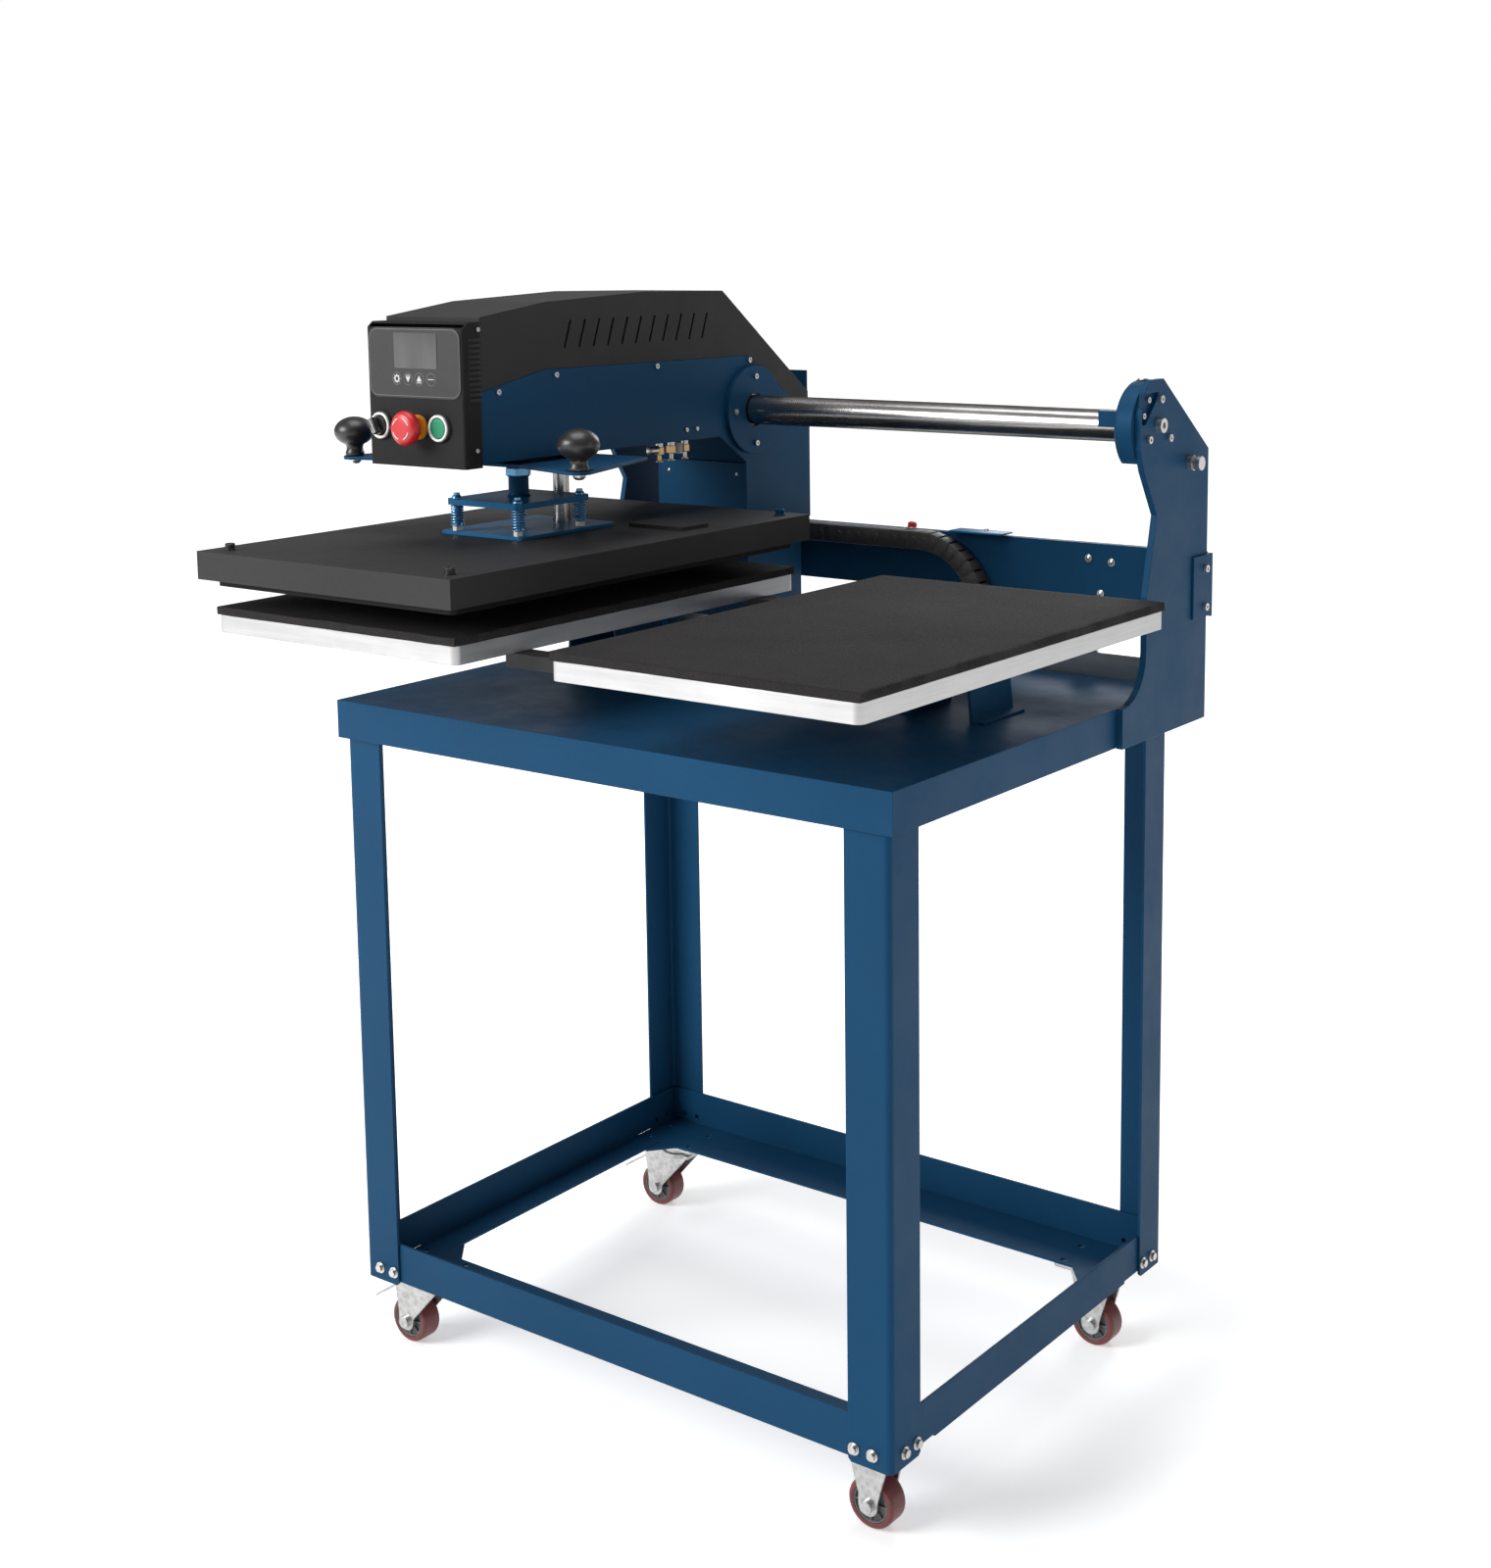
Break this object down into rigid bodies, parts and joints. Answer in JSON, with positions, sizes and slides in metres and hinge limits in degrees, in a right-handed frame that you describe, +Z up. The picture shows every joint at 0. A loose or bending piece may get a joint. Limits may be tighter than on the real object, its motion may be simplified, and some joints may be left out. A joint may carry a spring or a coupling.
{
  "type": "heat press",
  "caption": "Floor-standing pneumatic heat press on a wheeled stand, with a head that slides along a bar between two padded lower platens.",
  "frame": {"origin": "on the floor, under the middle of the whole machine's box, with the head at the left platen", "axes": "+X to the right as the operator stands, along the slide bar; +Y to the rear; +Z up"},
  "size_m": [0.9205, 0.848, 1.312],
  "materials": {
    "blue_paint": "satin powder coat, dark blue",
    "light_blue_paint": "semi-gloss powder coat, brighter blue",
    "black_paint": "fine textured powder coat, black",
    "aluminium": "fine milled",
    "dark_coating": "cast aluminium with a dark non-stick coating",
    "chrome_bar": "ground and hard chromed",
    "steel": "plain rolled steel",
    "zinc": "bright zinc plate, pressed",
    "screws": "stainless",
    "foam": "black silicone foam, cut edge",
    "red_urethane": "dark red polyurethane",
    "black_plastic": "moulded nylon",
    "gloss_black": "moulded bakelite, polished",
    "panel_film": "printed membrane",
    "red_plastic": "moulded, glossy",
    "green_plastic": "moulded, glossy"
  },
  "bodies": {
    "stand": {"table_top": "blue_paint", "leg_front_left": "blue_paint", "leg_front_right": "blue_paint", "leg_rear_left": "blue_paint", "leg_rear_right": "blue_paint", "base_rail_front": "blue_paint", "base_rail_rear": "blue_paint", "base_rail_left": "blue_paint", "base_rail_right": "blue_paint", "upright_left": "blue_paint", "upright_right": "blue_paint", "bar_clamp_left": "blue_paint", "bar_clamp_right": "blue_paint", "slide_bar": "chrome_bar", "rear_beam": "blue_paint", "guide_rail": "steel", "pedestal_left": "blue_paint", "pedestal_right": "blue_paint", "platen_tie_bars": "black_paint", "lower_platen_left": "aluminium", "lower_platen_right": "aluminium", "pad_left": "foam", "pad_right": "foam", "chain_trough": "blue_paint", "stand_bolts": "screws", "swivel_plates": "zinc", "rigid_forks": "zinc"},
    "carriage": {"arm_plate_left": "blue_paint", "arm_plate_right": "blue_paint", "column_frame": "blue_paint", "hood": "black_paint", "control_box": "black_paint", "control_panel": "panel_film", "bearing_flanges": "blue_paint", "slide_bearings": "steel", "air_cylinder": "aluminium", "handle_plate": "blue_paint", "handle_knobs": "gloss_black", "carriage_screws": "screws", "chain_upper_run": "black_plastic"},
    "chain_bend": {"chain_loop": "black_plastic"},
    "ram": {"piston_rod": "light_blue_paint", "float_plate": "light_blue_paint", "ram_bolts": "screws", "mount_plate": "light_blue_paint", "guide_rod": "chrome_bar", "platen_cover": "black_paint", "heater_plate": "dark_coating"},
    "estop": {"estop_button": "red_plastic"},
    "start_button": {"press_button": "green_plastic"},
    "selector": {"selector_knob": "black_plastic"},
    "swivel_front": {"swivel_fork_front": "zinc"},
    "swivel_rear": {"swivel_fork_rear": "zinc"},
    "pedal_front": {"brake_pedal_front": "zinc"},
    "pedal_rear": {"brake_pedal_rear": "zinc"},
    "roller_front_left": {"wheel_front_left": "red_urethane"},
    "roller_front_right": {"wheel_front_right": "red_urethane"},
    "roller_rear_left": {"wheel_rear_left": "red_urethane"},
    "roller_rear_right": {"wheel_rear_right": "red_urethane"}
  },
  "joints": [
    {"name": "carriage_slide", "type": "slide", "parent": "stand", "child": "carriage", "axis": [1, 0, 0], "range_m": [0, 0.52]},
    {"name": "press_stroke", "type": "slide", "parent": "carriage", "child": "ram", "axis": [0, 0, -1], "range_m": [0, 0.024]},
    {"name": "chain_follow", "type": "slide", "parent": "stand", "child": "chain_bend", "axis": [1, 0, 0], "range_m": [0, 0.26]},
    {"name": "estop_push", "type": "slide", "parent": "carriage", "child": "estop", "axis": [0, 1, 0], "range_m": [0, 0.006]},
    {"name": "start_push", "type": "slide", "parent": "carriage", "child": "start_button", "axis": [0, 1, 0], "range_m": [0, 0.003], "stiffness_N_per_m": 400},
    {"name": "selector_turn", "type": "hinge", "parent": "carriage", "child": "selector", "pos_m": [-0.3082, -0.27, 1.166], "axis": [0, 1, 0], "range_deg": [0, 60]},
    {"name": "swivel_turn_front", "type": "hinge", "parent": "stand", "child": "swivel_front", "pos_m": [-0.3272, -0.213, 0.088], "axis": [0, 0, 1], "continuous": true},
    {"name": "brake_front", "type": "hinge", "parent": "swivel_front", "child": "pedal_front", "pos_m": [-0.3712, -0.213, 0.076], "axis": [0, -1, 0], "range_deg": [0, 14]},
    {"name": "roll_front_left", "type": "hinge", "parent": "swivel_front", "child": "roller_front_left", "pos_m": [-0.3602, -0.213, 0.029], "axis": [0, 1, 0], "continuous": true},
    {"name": "roll_front_right", "type": "hinge", "parent": "stand", "child": "roller_front_right", "pos_m": [0.3418, -0.213, 0.029], "axis": [0, 1, 0], "continuous": true},
    {"name": "swivel_turn_rear", "type": "hinge", "parent": "stand", "child": "swivel_rear", "pos_m": [-0.3272, 0.28, 0.088], "axis": [0, 0, 1], "continuous": true},
    {"name": "brake_rear", "type": "hinge", "parent": "swivel_rear", "child": "pedal_rear", "pos_m": [-0.3712, 0.28, 0.076], "axis": [0, -1, 0], "range_deg": [0, 14]},
    {"name": "roll_rear_left", "type": "hinge", "parent": "swivel_rear", "child": "roller_rear_left", "pos_m": [-0.3602, 0.28, 0.029], "axis": [0, 1, 0], "continuous": true},
    {"name": "roll_rear_right", "type": "hinge", "parent": "stand", "child": "roller_rear_right", "pos_m": [0.3418, 0.28, 0.029], "axis": [0, 1, 0], "continuous": true}
  ],
  "couplings": [
    {"joint": "chain_follow", "follows": "carriage_slide", "ratio": 0.5}
  ]
}
